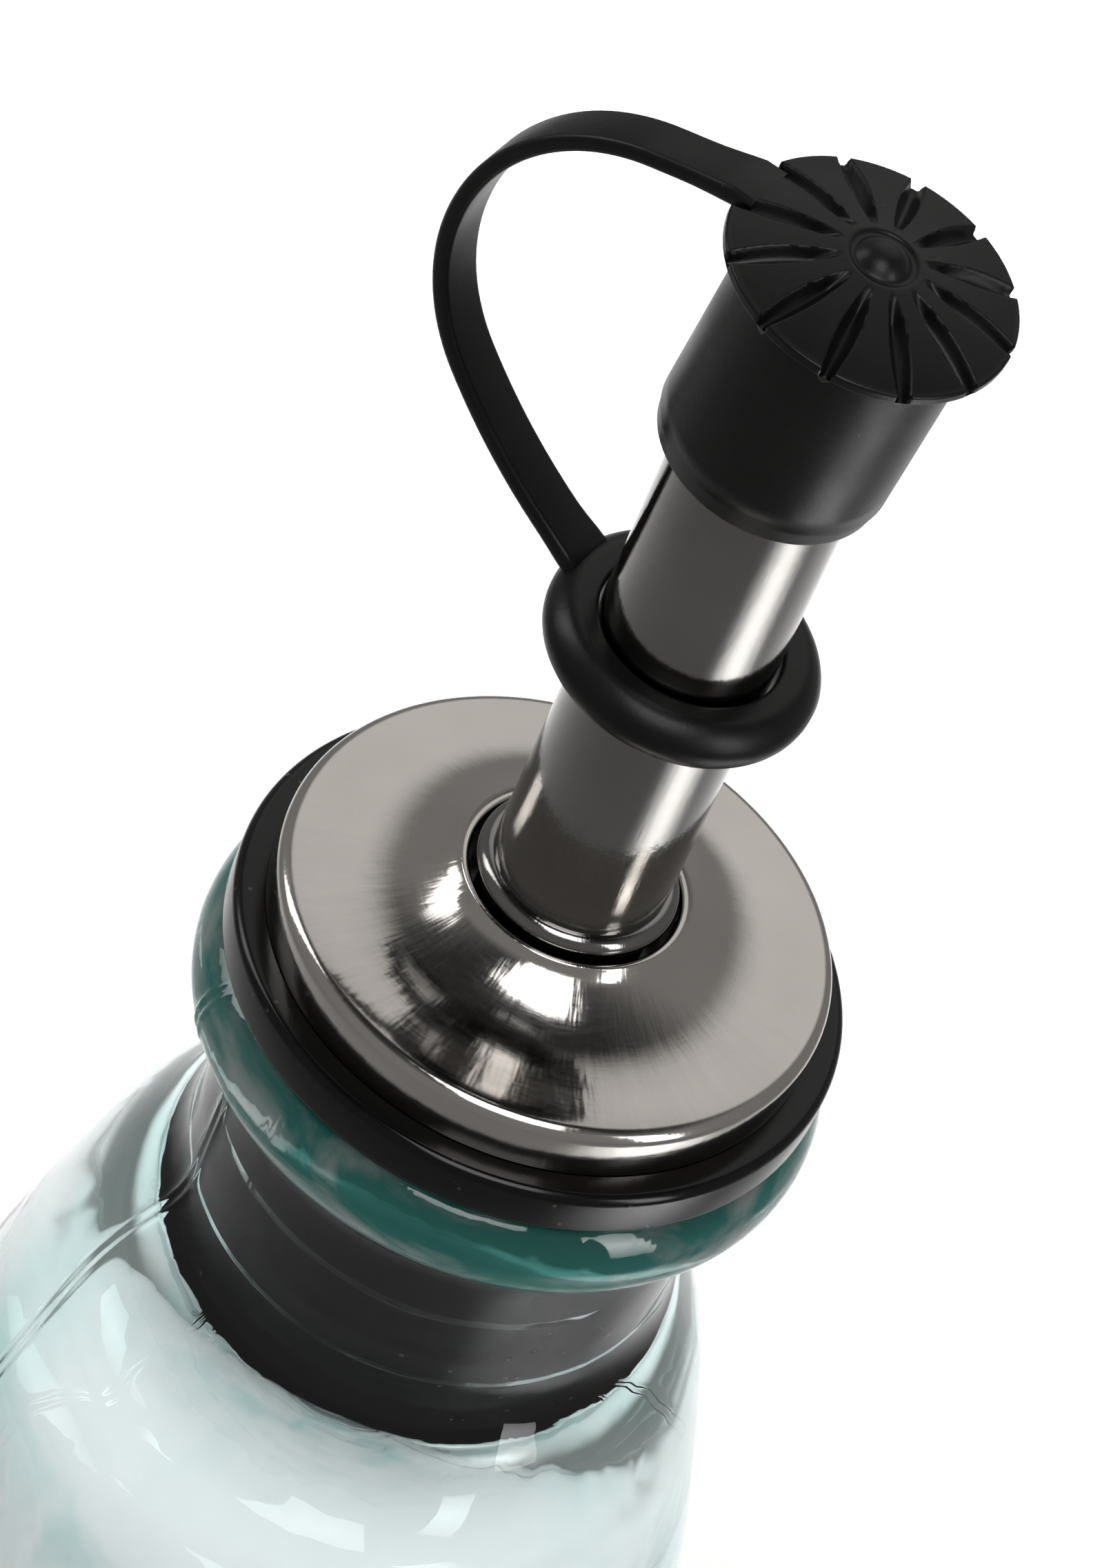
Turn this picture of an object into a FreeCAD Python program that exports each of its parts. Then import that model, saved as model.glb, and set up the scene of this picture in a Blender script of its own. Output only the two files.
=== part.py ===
import FreeCAD, Part
import Sketcher
import math
import os

# Glass oil bottle with a steel pourer: a round bottle, a ribbed rubber stopper with a pressed
# steel cover, a straight spout with an air tube inside, and a rubber dust cap on a tether.
# Millimetres, +Z up, origin at the centre of the base.

# Heights are measured up from the base. A "Drop" or "Rise" is measured from the cover's top.
dimensions = {
    "coverHeight": 220.0,
    # bottle, outside from the base up, then inside from the mouth down
    "puntRise": 5.0, "puntCurve": 55.4, "puntRadius": 23.0, "footRadius": 27.0, "heel": 8.0,
    "bodyRadius": 35.0, "shoulderDrop": 125.0, "shoulderCurve": 302.0,
    "crownRadius": 23.0, "crownDrop": 40.7, "crownCurve": 23.4,
    "throatRadius": 19.0, "throatDrop": 32.8, "throatCurve": 7.0,
    "neckRadius": 17.5, "neckDrop": 28.5, "neckTopDrop": 19.1, "neckTopCurve": 4.75,
    "lipFootRadius": 19.87, "lipFootDrop": 14.98, "lipCurve": 3.85, "lipRadius": 21.8, "lipDrop": 7.8,
    "mouthRadius": 12.0, "mouthRound": 0.8, "mouthDrop": 40.0, "flareCurve": 10.2,
    "flareRadius": 17.1, "flareDrop": 48.83, "innerCrownCurve": 11.8, "innerCrownRadius": 22.6,
    "innerCrownDrop": 56.0, "innerShoulderCurve": 271.5, "innerRadius": 31.5, "innerHeel": 9.0,
    "floorRise": 5.0, "floorPeak": 9.5, "floorCurve": 58.5,
    # rubber stopper
    "flangeRadius": 21.0, "flangeRound": 0.5, "ledgeDrop": 4.1, "hubRadius": 18.35,
    "plugRadius": 11.95, "plugCoreRadius": 10.9, "plugTipRadius": 9.6, "plugDrop": 44.0,
    "collarDrop": 12.0, "ribDrop": 19.0, "ribPitch": 7.0, "ribSlope": 1.8, "ribCount": 3.0,
    # pressed steel cover with a drawn collar round the spout
    "coverRadius": 19.0, "coverSheet": 0.6, "coverRound": 1.0, "collarRadius": 7.2,
    "collarRound": 0.35, "collarRise": 3.2, "collarFoot": 16.5, "collarCurve": 14.4,
    # spout, and the air tube and plate inside it
    "tubeRadius": 6.0, "tubeSheet": 0.6, "tubeDrop": 46.0, "tubeRise": 50.5,
    "beadRise": 3.6, "beadRound": 0.9,
    "airRadius": 1.5, "airBore": 1.0, "airOffset": 3.3, "airDrop": 54.0, "airRise": 44.0,
    "plateTopDrop": 30.0, "plateThick": 5.0, "portRadius": 2.2, "portOffset": 2.2,
    # tether ring
    "ringRadius": 9.25, "ringBore": 6.25, "ringRise": 24.2, "ringThick": 3.5, "ringRound": 1.1,
    "ringTilt": 3.0,
    # tether strap, given by its middle line
    "strapWide": 4.0, "strapThick": 1.2, "strapReach": 23.3, "strapReachRise": 45.7,
    "strapCurve": 14.0, "strapLowTurn": 45.0, "strapTopTurn": 75.0, "strapRootCurve": 54.0,
    "strapRootTurn": 14.0, "strapHeadLength": 4.4,
    # dust cap, drawn on its own axis with its open end at zero
    "capRise": 43.7, "capTilt": 4.5, "capRadius": 7.7, "capBore": 6.8, "capDepth": 14.4,
    "capBand": 1.3, "capBevel": 0.35, "headRadius": 9.5, "headHeight": 16.7, "headEdge": 0.7,
    "headPeak": 18.3, "moatRadius": 2.5, "nubRadius": 1.75, "nubFoot": 18.1, "nubTop": 19.1,
    "nubCurve": 2.03125, "grooveStart": 3.0, "grooveDepth": 0.55, "grooveWide": 0.9,
    "grooveCount": 12.0,
    # direction in which the tether stands, turned from +X
    "tetherTurn": 164.0,
}

document = FreeCAD.newDocument("OilBottle")
sheet = document.addObject("Spreadsheet::Sheet", "Dims")
for row, (alias, value) in enumerate(dimensions.items(), start=1):
    sheet.set(f"A{row}", alias)
    sheet.set(f"B{row}", str(value))
    sheet.setAlias(f"B{row}", alias)
document.recompute()

zAxis = FreeCAD.Vector(0, 0, 1)
yAxis = FreeCAD.Vector(0, 1, 0)


def size(name):
    """The value of one cell of the sheet."""
    return float(getattr(sheet, name))


def amount(text):
    """The value of cells and numbers joined with + and -."""
    total, sign = 0.0, 1.0
    for word in text.split():
        if word in ("+", "-"):
            sign = 1.0 if word == "+" else -1.0
        else:
            total += sign * (float(word) if word[0].isdigit() else size(word))
    return total


def formula(text):
    """The same sum as an expression bound to the sheet."""
    return " ".join(w if w in ("+", "-") or w[0].isdigit() else f"Dims.{w}" for w in text.split())


def newBody(label):
    body = document.addObject("PartDesign::Body", label)
    body.Label = label
    return body


def originFeature(body, role):
    return next(item for item in body.Origin.OriginFeatures if item.Role == role)


def newSketch(body, name, role):
    sketch = body.newObject("Sketcher::SketchObject", name)
    sketch.AttachmentSupport = [(originFeature(body, role), "")]
    sketch.MapMode = "FlatFace"
    return sketch


def arcBetween(start, stop, radius, side):
    """The short arc from start to stop that bulges to the left or right of its chord."""
    chord = stop - start
    sagitta = radius - math.sqrt(max(radius ** 2 - (chord.Length / 2) ** 2, 0.0))
    left = FreeCAD.Vector(-chord.y, chord.x, 0).normalize()
    bulge = left * (sagitta if side == "left" else -sagitta)
    return Part.Arc(start, (start + stop) * 0.5 + bulge, stop)


def bindConstraint(sketch, kind, places, text):
    number = sketch.addConstraint(Sketcher.Constraint(kind, *places, amount(text)))
    sketch.setExpression(f"Constraints[{number}]", formula(text))


def drawOutline(sketch, corners):
    """Draw a closed outline. A corner is (across, up) or (across, up, radius, side), where the edge
    leaving it is an arc that bulges to the left or right of its chord."""
    points = [FreeCAD.Vector(amount(corner[0]), amount(corner[1]), 0) for corner in corners]
    ends = []
    for index, corner in enumerate(corners):
        start, stop = points[index], points[(index + 1) % len(points)]
        if len(corner) == 2:
            number = sketch.addGeometry(Part.LineSegment(start, stop))
        else:
            number = sketch.addGeometry(arcBetween(start, stop, amount(corner[2]), corner[3]))
        forward = sketch.getPoint(number, 1).distanceToPoint(start) < sketch.getPoint(number, 2).distanceToPoint(start)
        ends.append((1, 2) if forward else (2, 1))
    for index, corner in enumerate(corners):
        before = (index - 1) % len(corners)
        first = ends[index][0]
        sketch.addConstraint(Sketcher.Constraint("Coincident", before, ends[before][1], index, first))
        for kind, text, axis in (("DistanceX", corner[0], -2), ("DistanceY", corner[1], -1)):
            if text == "0":
                sketch.addConstraint(Sketcher.Constraint("PointOnObject", index, first, axis))
            else:
                bindConstraint(sketch, kind, (-1, 1, index, first), text)
        if len(corner) == 4:
            bindConstraint(sketch, "Radius", (index,), corner[2])


def revolveBody(label, corners):
    """A turned piece: an outline in the XZ plane revolved about the Z axis."""
    body = newBody(label)
    sketch = newSketch(body, label + "_profile", "XZ_Plane")
    drawOutline(sketch, corners)
    document.recompute()
    turned = body.newObject("PartDesign::Revolution", label + "_turned")
    turned.Profile = sketch
    turned.ReferenceAxis = (sketch, ["V_Axis"])
    turned.Angle = 360
    body.Tip = turned
    document.recompute()
    return body


def turnAbout(axis, angle, height=0.0):
    """A placement that turns by angle about an axis through a point on the Z axis."""
    centre = FreeCAD.Vector(0, 0, height)
    rotation = FreeCAD.Rotation(axis, angle)
    return FreeCAD.Placement(centre - rotation.multVec(centre), rotation)


tetherPlacement = turnAbout(zAxis, size("tetherTurn"))


def makeBottle():
    revolveBody("glass_bottle", [
        ("0", "puntRise", "puntCurve", "left"),
        ("puntRadius", "0"),
        ("footRadius", "0", "heel", "right"),
        ("bodyRadius", "heel"),
        ("bodyRadius", "coverHeight - shoulderDrop", "shoulderCurve", "right"),
        ("crownRadius", "coverHeight - crownDrop", "crownCurve", "right"),
        ("throatRadius", "coverHeight - throatDrop", "throatCurve", "left"),
        ("neckRadius", "coverHeight - neckDrop"),
        ("neckRadius", "coverHeight - neckTopDrop", "neckTopCurve", "left"),
        ("lipFootRadius", "coverHeight - lipFootDrop", "lipCurve", "right"),
        ("lipRadius", "coverHeight - lipDrop - lipCurve", "lipCurve", "right"),
        ("lipRadius - lipCurve", "coverHeight - lipDrop"),
        ("mouthRadius + mouthRound", "coverHeight - lipDrop", "mouthRound", "right"),
        ("mouthRadius", "coverHeight - lipDrop - mouthRound"),
        ("mouthRadius", "coverHeight - mouthDrop", "flareCurve", "right"),
        ("flareRadius", "coverHeight - flareDrop", "innerCrownCurve", "left"),
        ("innerCrownRadius", "coverHeight - innerCrownDrop", "innerShoulderCurve", "left"),
        ("innerRadius", "coverHeight - shoulderDrop"),
        ("innerRadius", "floorRise + innerHeel", "innerHeel", "left"),
        ("innerRadius - innerHeel", "floorRise", "floorCurve", "right"),
        ("0", "floorPeak"),
    ])


def makeStopper():
    ribs = []
    for rib in reversed(range(int(size("ribCount")))):
        top = "coverHeight - ribDrop" + " - ribPitch" * rib
        ribs += [("plugCoreRadius", top + " - ribSlope"), ("plugRadius", top), ("plugCoreRadius", top)]
    revolveBody("rubber_stopper", [
        ("tubeRadius", "coverHeight - plugDrop"),
        ("plugTipRadius", "coverHeight - plugDrop"),
    ] + ribs + [
        ("plugCoreRadius", "coverHeight - collarDrop"),
        ("plugRadius", "coverHeight - collarDrop + flangeRound"),
        ("plugRadius", "coverHeight - lipDrop"),
        ("flangeRadius - flangeRound", "coverHeight - lipDrop", "flangeRound", "right"),
        ("flangeRadius", "coverHeight - lipDrop + flangeRound"),
        ("flangeRadius", "coverHeight - ledgeDrop - flangeRound", "flangeRound", "right"),
        ("flangeRadius - flangeRound", "coverHeight - ledgeDrop"),
        ("hubRadius", "coverHeight - ledgeDrop"),
        ("hubRadius", "coverHeight - coverSheet"),
        ("tubeRadius", "coverHeight - coverSheet"),
    ])


def makeCover():
    revolveBody("steel_cover", [
        ("coverRadius - coverSheet", "coverHeight - ledgeDrop"),
        ("coverRadius", "coverHeight - ledgeDrop"),
        ("coverRadius", "coverHeight - coverRound", "coverRound", "right"),
        ("coverRadius - coverRound", "coverHeight"),
        ("collarFoot", "coverHeight", "collarCurve", "left"),
        ("collarRadius + collarRound + collarRound", "coverHeight + collarRise - collarRound"),
        ("collarRadius + collarRound", "coverHeight + collarRise", "collarRound", "right"),
        ("collarRadius", "coverHeight + collarRise - collarRound"),
        ("collarRadius", "coverHeight - coverSheet"),
        ("coverRadius - coverSheet", "coverHeight - coverSheet"),
    ])


def makeSpout():
    revolveBody("spout_tube", [
        ("tubeRadius - tubeSheet", "coverHeight - tubeDrop"),
        ("tubeRadius", "coverHeight - tubeDrop"),
        ("tubeRadius", "coverHeight + beadRise - beadRound", "beadRound", "right"),
        ("tubeRadius + beadRound", "coverHeight + beadRise", "beadRound", "right"),
        ("tubeRadius", "coverHeight + beadRise + beadRound"),
        ("tubeRadius", "coverHeight + tubeRise"),
        ("tubeRadius - tubeSheet", "coverHeight + tubeRise"),
    ])


def makeAirTube():
    tube = revolveBody("air_tube", [
        ("airBore", "coverHeight - airDrop"),
        ("airRadius", "coverHeight - airDrop"),
        ("airRadius", "coverHeight + airRise"),
        ("airBore", "coverHeight + airRise"),
    ])
    tube.Placement = tetherPlacement * FreeCAD.Placement(FreeCAD.Vector(size("airOffset"), 0, 0), FreeCAD.Rotation())


def newCylinder(name, radius, bottom, length, across):
    cylinder = document.addObject("Part::Cylinder", name)
    cylinder.setExpression("Radius", radius)
    cylinder.setExpression("Height", length)
    cylinder.setExpression("Placement.Base.x", across)
    cylinder.setExpression("Placement.Base.z", bottom)
    return cylinder


def makePlate():
    """The plate in the spout's foot that holds the air tube and leaves a port for the oil."""
    bottom = "Dims.coverHeight - Dims.plateTopDrop - Dims.plateThick"
    disc = newCylinder("plate_disc", "Dims.tubeRadius - Dims.tubeSheet", bottom, "Dims.plateThick", "0")
    holes = document.addObject("Part::MultiFuse", "plate_holes")
    holes.Shapes = [
        newCylinder("port_hole", "Dims.portRadius", bottom, "Dims.plateThick", "-Dims.portOffset"),
        newCylinder("air_hole", "Dims.airRadius", bottom, "Dims.plateThick", "Dims.airOffset"),
    ]
    plate = document.addObject("Part::Cut", "flow_plate")
    plate.Label = "flow_plate"
    plate.Base = disc
    plate.Tool = holes
    document.recompute()
    plate.Placement = tetherPlacement


def makeRing():
    ring = revolveBody("tether_ring", [
        ("ringBore", "coverHeight + ringRise"),
        ("ringRadius - ringRound", "coverHeight + ringRise", "ringRound", "right"),
        ("ringRadius", "coverHeight + ringRise + ringRound"),
        ("ringRadius", "coverHeight + ringRise + ringThick - ringRound", "ringRound", "right"),
        ("ringRadius - ringRound", "coverHeight + ringRise + ringThick"),
        ("ringBore", "coverHeight + ringRise + ringThick"),
    ])
    middle = size("coverHeight") + size("ringRise") + size("ringThick") / 2
    ring.Placement = tetherPlacement * turnAbout(yAxis, -size("ringTilt"), middle)


def arcEdge(centre, radius, fromAngle, toAngle):
    """An edge round a centre in the XZ plane, with angles measured from +X towards +Z."""
    def place(angle):
        turn = math.radians(angle)
        return centre + FreeCAD.Vector(radius * math.cos(turn), 0, radius * math.sin(turn))
    return Part.Arc(place(fromAngle), place((fromAngle + toAngle) / 2), place(toAngle)).toShape()


def makeStrap():
    """A flat band swept along tangent arcs, from the ring out and back in to the cap's head."""
    curve, rootCurve = size("strapCurve"), size("strapRootCurve")
    lowTurn, topTurn, rootTurn = size("strapLowTurn"), size("strapTopTurn"), size("strapRootTurn")
    centre = FreeCAD.Vector(size("strapReach") - curve, 0, size("coverHeight") + size("strapReachRise"))
    lowWay = FreeCAD.Vector(math.cos(math.radians(lowTurn)), 0, -math.sin(math.radians(lowTurn)))
    rootCentre = centre - lowWay * (rootCurve - curve)
    rootArc = arcEdge(rootCentre, rootCurve, -lowTurn - rootTurn, -lowTurn)
    bowArc = arcEdge(centre, curve, -lowTurn, topTurn)
    topWay = FreeCAD.Vector(-math.sin(math.radians(topTurn)), 0, math.cos(math.radians(topTurn)))
    bowEnd = bowArc.Vertexes[-1].Point
    headLine = Part.makeLine(bowEnd, bowEnd + topWay * size("strapHeadLength"))
    path = Part.Wire([rootArc, bowArc, headLine])
    start = rootArc.Vertexes[0].Point
    across = (start - rootCentre).normalize() * (size("strapThick") / 2)
    sideways = yAxis * (size("strapWide") / 2)
    corners = [start + across + sideways, start - across + sideways, start - across - sideways,
               start + across - sideways]
    section = Part.makePolygon(corners + corners[:1])
    strap = document.addObject("Part::Feature", "tether_strap")
    strap.Label = "tether_strap"
    strap.Shape = path.makePipeShell([section], True, False)
    strap.Placement = tetherPlacement


def makeCap():
    cap = revolveBody("dust_cap", [
        ("capBore", "0"),
        ("capRadius - capBevel", "0"),
        ("capRadius", "capBand"),
        ("capRadius", "headHeight - headEdge"),
        ("headRadius", "headHeight - headEdge"),
        ("headRadius", "headHeight"),
        ("moatRadius", "headPeak"),
        ("nubRadius", "nubFoot", "nubCurve", "right"),
        ("0", "nubTop"),
        ("0", "capDepth"),
        ("capBore", "capDepth"),
    ])
    sketch = newSketch(cap, "dust_cap_groove", "XZ_Plane")
    halfStep = FreeCAD.Rotation(yAxis, 180 / size("grooveCount"))
    sketch.AttachmentOffset = FreeCAD.Placement(FreeCAD.Vector(), halfStep)
    drawOutline(sketch, [
        ("grooveStart", "headPeak"),
        ("grooveStart", "headPeak - grooveDepth"),
        ("headRadius + headEdge", "headHeight - grooveDepth"),
        ("headRadius + headEdge", "headPeak"),
    ])
    document.recompute()
    groove = cap.newObject("PartDesign::Pocket", "dust_cap_groove_cut")
    groove.Profile = sketch
    groove.SideType = "Symmetric"
    groove.setExpression("Length", "Dims.grooveWide")
    cap.Tip = groove
    document.recompute()
    grooves = cap.newObject("PartDesign::PolarPattern", "dust_cap_grooves")
    grooves.Originals = [groove]
    grooves.Axis = (originFeature(cap, "Z_Axis"), [""])
    grooves.Angle = 360
    grooves.setExpression("Occurrences", "Dims.grooveCount")
    cap.Tip = grooves
    document.recompute()
    base = size("coverHeight") + size("capRise")
    gripMiddle = (size("coverHeight") + size("tubeRise") + base) / 2
    upright = FreeCAD.Placement(FreeCAD.Vector(0, 0, base), FreeCAD.Rotation())
    cap.Placement = tetherPlacement * turnAbout(yAxis, -size("capTilt"), gripMiddle) * upright


makeBottle()
makeStopper()
makeCover()
makeSpout()
makeAirTube()
makePlate()
makeRing()
makeStrap()
makeCap()
document.recompute()

nodes = ["glass_bottle", "rubber_stopper", "steel_cover", "spout_tube", "air_tube", "flow_plate",
         "tether_ring", "tether_strap", "dust_cap"]

for item in document.Objects:
    if "Invalid" in item.State or "Error" in item.State:
        raise RuntimeError(f"{item.Name} failed: {item.State}")
os.makedirs("parts", exist_ok=True)
for label in nodes:
    piece = document.getObjectsByLabel(label)[0]
    if piece.Shape.isNull() or not piece.Shape.isValid():
        raise RuntimeError(f"{label} has no valid shape")
    piece.Shape.exportStep(f"parts/{label}.step")
    box = piece.Shape.BoundBox
    print(f"{label}: {piece.Shape.Volume:.0f} mm3, z {box.ZMin:.1f} to {box.ZMax:.1f}")
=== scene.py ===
import bpy
import bmesh
import math
from mathutils import Matrix, Vector, noise


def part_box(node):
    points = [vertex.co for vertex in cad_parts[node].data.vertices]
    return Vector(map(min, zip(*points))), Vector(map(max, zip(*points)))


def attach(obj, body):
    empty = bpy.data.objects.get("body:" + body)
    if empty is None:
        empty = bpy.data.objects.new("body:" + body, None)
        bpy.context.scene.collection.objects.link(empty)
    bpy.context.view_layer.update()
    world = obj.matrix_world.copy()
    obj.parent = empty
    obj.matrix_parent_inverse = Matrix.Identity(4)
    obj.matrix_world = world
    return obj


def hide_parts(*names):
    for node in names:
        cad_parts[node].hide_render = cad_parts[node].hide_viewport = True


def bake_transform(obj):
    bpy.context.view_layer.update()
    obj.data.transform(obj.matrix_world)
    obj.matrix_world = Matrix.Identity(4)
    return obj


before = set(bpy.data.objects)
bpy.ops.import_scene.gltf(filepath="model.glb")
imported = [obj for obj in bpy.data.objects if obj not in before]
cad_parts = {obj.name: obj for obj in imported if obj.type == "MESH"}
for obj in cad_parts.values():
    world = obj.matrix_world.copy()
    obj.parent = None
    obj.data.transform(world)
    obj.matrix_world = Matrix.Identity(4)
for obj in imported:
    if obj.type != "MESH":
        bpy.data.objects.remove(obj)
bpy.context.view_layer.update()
mm = 0.001

# Outlines are in millimetres, as radius and height, with heights above the steel cover's top.
coverSheet = 0.6
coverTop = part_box("rubber_stopper")[1][2] / mm + coverSheet
print("frame loaded")


arcTurn = 0.22  # the most that an arc turns from one point to the next, in radians


def arcSteps(start, stop, radius, side, spacing):
    # points after start on the short arc to stop that bulges left or right of its chord
    chord = stop - start
    half = min(chord.length / 2, radius)
    left = Vector((-chord.y, chord.x)).normalized()
    bulge = 1 if side == "left" else -1
    centre = (start + stop) / 2 - left * bulge * math.sqrt(radius ** 2 - half ** 2)
    first = math.atan2(start.y - centre.y, start.x - centre.x)
    sweep = -bulge * 2 * math.asin(half / radius)
    steps = max(3, math.ceil(abs(sweep) * radius / spacing), math.ceil(abs(sweep) / arcTurn))
    turns = [first + sweep * i / steps for i in range(1, steps + 1)]
    return [centre + Vector((math.cos(turn), math.sin(turn))) * radius for turn in turns]


def traceOutline(corners, spacing=50.0, closed=True):
    # corners (radius, height) or (radius, height, arc radius, side), sampled at most a spacing apart
    points = []
    pairs = len(corners) if closed else len(corners) - 1
    for index in range(pairs):
        start, stop = Vector(corners[index][:2]), Vector(corners[(index + 1) % len(corners)][:2])
        if len(corners[index]) == 4:
            steps = arcSteps(start, stop, corners[index][2], corners[index][3], spacing)
        else:
            count = max(1, math.ceil((stop - start).length / spacing))
            steps = [start.lerp(stop, i / count) for i in range(1, count + 1)]
        points += [start] + steps[:-1]
    if not closed:
        points.append(Vector(corners[-1][:2]))
    return points


def evenTurns(count):
    return [math.tau * i / count for i in range(count)]


def latheMesh(name, outline, turns, closed=True, shape=None, sharp=None):
    # turns an outline about the Z axis; shape(index, radius, turn, height) may move its points
    form = bmesh.new()
    rings = []
    for index, (radius, height) in enumerate(outline):
        if radius < 1e-6:
            rings.append([form.verts.new((0, 0, (height + coverTop) * mm))] * len(turns))
            continue
        ring = []
        for turn in turns:
            r, z = shape(index, radius, turn, height) if shape else (radius, height)
            x, y = r * math.cos(turn) * mm, r * math.sin(turn) * mm
            ring.append(form.verts.new((x, y, (z + coverTop) * mm)))
        rings.append(ring)
    for index in range(len(rings) if closed else len(rings) - 1):
        low, high = rings[index], rings[(index + 1) % len(rings)]
        for k in range(len(turns)):
            n = (k + 1) % len(turns)
            corners = list(dict.fromkeys((low[k], low[n], high[n], high[k])))
            if len(corners) > 2:
                form.faces.new(corners)
    bmesh.ops.recalc_face_normals(form, faces=form.faces)
    mesh = bpy.data.meshes.new(name)
    form.to_mesh(mesh)
    form.free()
    mesh.shade_smooth()
    if sharp:
        mesh.set_sharp_from_angle(angle=math.radians(sharp))
    return mesh


def addPiece(name, mesh, material, body, nodes=()):
    piece = bpy.data.objects.new(name, mesh)
    bpy.context.scene.collection.objects.link(piece)
    piece.data.materials.clear()
    piece.data.materials.append(material)
    if body:
        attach(piece, body)
    if nodes:
        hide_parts(*nodes)
    return piece


def newTree(name, inputs):
    # a Geometry Nodes tree with a geometry in and out and named inputs for its sizes
    tree = bpy.data.node_groups.new(name, "GeometryNodeTree")
    tree.interface.new_socket("Geometry", in_out="INPUT", socket_type="NodeSocketGeometry")
    for label, kind in inputs:
        tree.interface.new_socket(label, in_out="INPUT", socket_type=kind)
    tree.interface.new_socket("Material", in_out="INPUT", socket_type="NodeSocketMaterial")
    tree.interface.new_socket("Geometry", in_out="OUTPUT", socket_type="NodeSocketGeometry")
    return tree, tree.nodes.new("NodeGroupInput"), tree.nodes.new("NodeGroupOutput")


def calc(tree, operation, *values, clamp=False):
    # a Math node whose values are sockets or plain numbers
    node = tree.nodes.new("ShaderNodeMath")
    node.operation = operation
    node.use_clamp = clamp
    for index, value in enumerate(values):
        if isinstance(value, bpy.types.NodeSocket):
            tree.links.new(value, node.inputs[index])
        else:
            node.inputs[index].default_value = value
    return node.outputs[0]


def endTree(tree, geometry, inside, outside):
    # every tree ends the same way: smooth, real geometry, one material
    smooth = tree.nodes.new("GeometryNodeSetShadeSmooth")
    real = tree.nodes.new("GeometryNodeRealizeInstances")
    paint = tree.nodes.new("GeometryNodeSetMaterial")
    tree.links.new(geometry, smooth.inputs["Geometry"])
    tree.links.new(smooth.outputs["Geometry"], real.inputs["Geometry"])
    tree.links.new(real.outputs["Geometry"], paint.inputs["Geometry"])
    tree.links.new(inside.outputs["Material"], paint.inputs["Material"])
    tree.links.new(paint.outputs["Geometry"], outside.inputs["Geometry"])


def grownMesh(name, data, tree, values):
    # runs the tree on a temporary object and returns the result as a plain mesh
    base = bpy.data.objects.new(name + "Base", data)
    modifier = base.modifiers.new(tree.name, "NODES")
    modifier.node_group = tree
    for item in tree.interface.items_tree:
        if item.in_out == "INPUT" and item.name in values:
            modifier[item.identifier] = values[item.name]
    bpy.context.scene.collection.objects.link(base)
    graph = bpy.context.evaluated_depsgraph_get()
    mesh = bpy.data.meshes.new_from_object(base.evaluated_get(graph), depsgraph=graph)
    mesh.name = name
    bpy.data.objects.remove(base)
    return mesh


def wave(x, y, z, size, seed=0.0):
    # smooth noise from -1 to 1 with features about one size across
    return noise.noise(Vector((x / size + seed, y / size - seed, z / size + 2 * seed)))


cameraView = {"distance": 480.0, "lift": 44.75, "roll": -24.5, "aimX": 0.1, "aimY": -8.1, "lens": 168.5}


def makeCamera():
    lift, roll = math.radians(cameraView["lift"]), math.radians(cameraView["roll"])
    back = Vector((0, -math.cos(lift), math.sin(lift)))
    level, upright = Vector((1, 0, 0)), Vector((0, math.sin(lift), math.cos(lift)))
    across = level * math.cos(roll) - upright * math.sin(roll)
    up = level * math.sin(roll) + upright * math.cos(roll)
    place = (Vector((0, 0, coverTop)) - across * cameraView["aimX"] - up * cameraView["aimY"]
             + back * cameraView["distance"]) * mm
    data = bpy.data.cameras.new("camera")
    data.lens = cameraView["lens"]
    camera = bpy.data.objects.new("camera", data)
    bpy.context.scene.collection.objects.link(camera)
    turn = Matrix((across, up, back)).transposed().to_4x4()
    camera.matrix_world = Matrix.Translation(place) @ turn
    bpy.context.scene.camera = camera


studio = {
    "air": (1.0, 0.985, 0.97), "dark": 0.03, "walls": 0.27, "wallHeights": (0.96, 0.66),
    "card": 0.58, "cardPlace": (0.0, 0.71, 0.704), "cardEdge": (0.84, 0.96),
    "floor": (0.93, 0.93, 0.93), "floorRough": 0.7, "floorSize": 4.0}
softboxes = {  # name: (place, aimed at, width, height, watts, spread in degrees, what it lights)
    "back": ((0.0, 0.32, 0.90), (0.0, 0.32, 0.0), 0.54, 0.40, 1.10, 47, "floor"),
    "pool": ((0.25, -0.09, 0.50), (0.25, -0.09, 0.0), 0.08, 0.08, 0.32, 26, "floor"),
    "front": ((0.12, -0.38, 1.10), (0.0, 0.0, 0.20), 0.46, 0.62, 1.15, 90, "gloss"),
    "left": ((-0.50, 0.10, 0.55), (0.0, 0.0, 0.22), 0.16, 0.50, 0.12, 60, "gloss"),
    "right": ((0.55, -0.25, 0.45), (0.05, 0.0, 0.20), 0.14, 0.50, 0.18, 60, "gloss"),
}


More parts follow.
